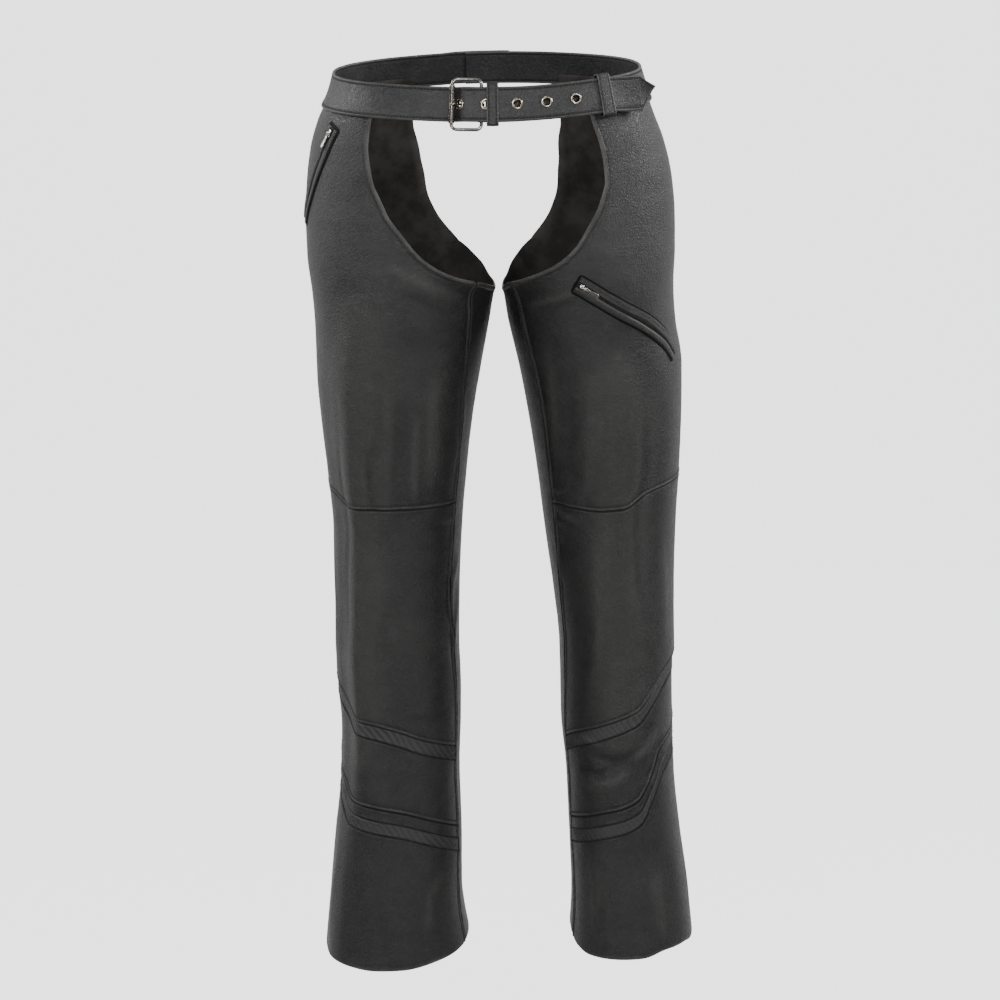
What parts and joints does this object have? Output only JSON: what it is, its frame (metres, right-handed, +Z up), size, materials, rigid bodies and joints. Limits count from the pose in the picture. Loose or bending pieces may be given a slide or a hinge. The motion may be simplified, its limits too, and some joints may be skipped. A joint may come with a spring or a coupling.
{
  "type": "leather chaps",
  "caption": "Open-seat leather riding chaps under a roller-buckle belt, with slanted zip pockets and pale bands across the calves.",
  "frame": {"origin": "centre of the waist ring, about level with the middle of the belt", "axes": "+Z up along the legs towards the waist, -Y to the front, where the buckle is, +X to the wearer's left"},
  "size_m": [0.4369, 0.2674, 1.0503],
  "materials": {
    "leather": "black grained leather with a soft sheen",
    "belt_leather": "black belt leather, lighter along its edges",
    "band_cloth": "dark grey woven band",
    "antique_metal": "antique nickel",
    "eyelet_metal": "antique brass eyelets",
    "zip_tape": "black zip tape"
  },
  "bodies": {
    "chaps": {"right_thigh": "leather", "right_shin": "leather", "right_upper_band": "band_cloth", "right_calf": "leather", "right_strip": "leather", "right_lower_band": "band_cloth", "right_cuff": "leather", "right_back": "leather", "left_thigh": "leather", "left_shin": "leather", "left_upper_band": "band_cloth", "left_calf": "leather", "left_strip": "leather", "left_lower_band": "band_cloth", "left_cuff": "leather", "left_back": "leather", "belt_strap": "belt_leather", "belt_buckle_strap": "belt_leather", "keeper_inner": "belt_leather", "keeper_outer": "belt_leather", "buckle_frame": "antique_metal", "buckle_roller": "antique_metal", "buckle_prong": "antique_metal", "eyelet_1": "eyelet_metal", "eyelet_2": "eyelet_metal", "eyelet_3": "eyelet_metal", "eyelet_4": "eyelet_metal", "eyelet_5": "eyelet_metal", "thigh_pocket_welt_upper": "leather", "thigh_pocket_welt_lower": "leather", "thigh_pocket_zip": "zip_tape", "thigh_pocket_slider": "antique_metal", "hip_pocket_welt_upper": "leather", "hip_pocket_welt_lower": "leather", "hip_pocket_zip": "zip_tape", "hip_pocket_slider": "antique_metal"},
    "thigh_pull": {"thigh_pocket_pull": "antique_metal"},
    "hip_pull": {"hip_pocket_pull": "antique_metal"}
  },
  "joints": [
    {"name": "thigh_pull_turn", "type": "hinge", "parent": "chaps", "child": "thigh_pull", "pos_m": [0.099, -0.13067, -0.20658], "axis": [-0.5336, 0.0833, -0.8416], "range_deg": [0, 150]},
    {"name": "hip_pull_turn", "type": "hinge", "parent": "chaps", "child": "hip_pull", "pos_m": [-0.17589, -0.06872, -0.03886], "axis": [-0.4676, 0.7842, 0.408], "range_deg": [0, 150]}
  ]
}
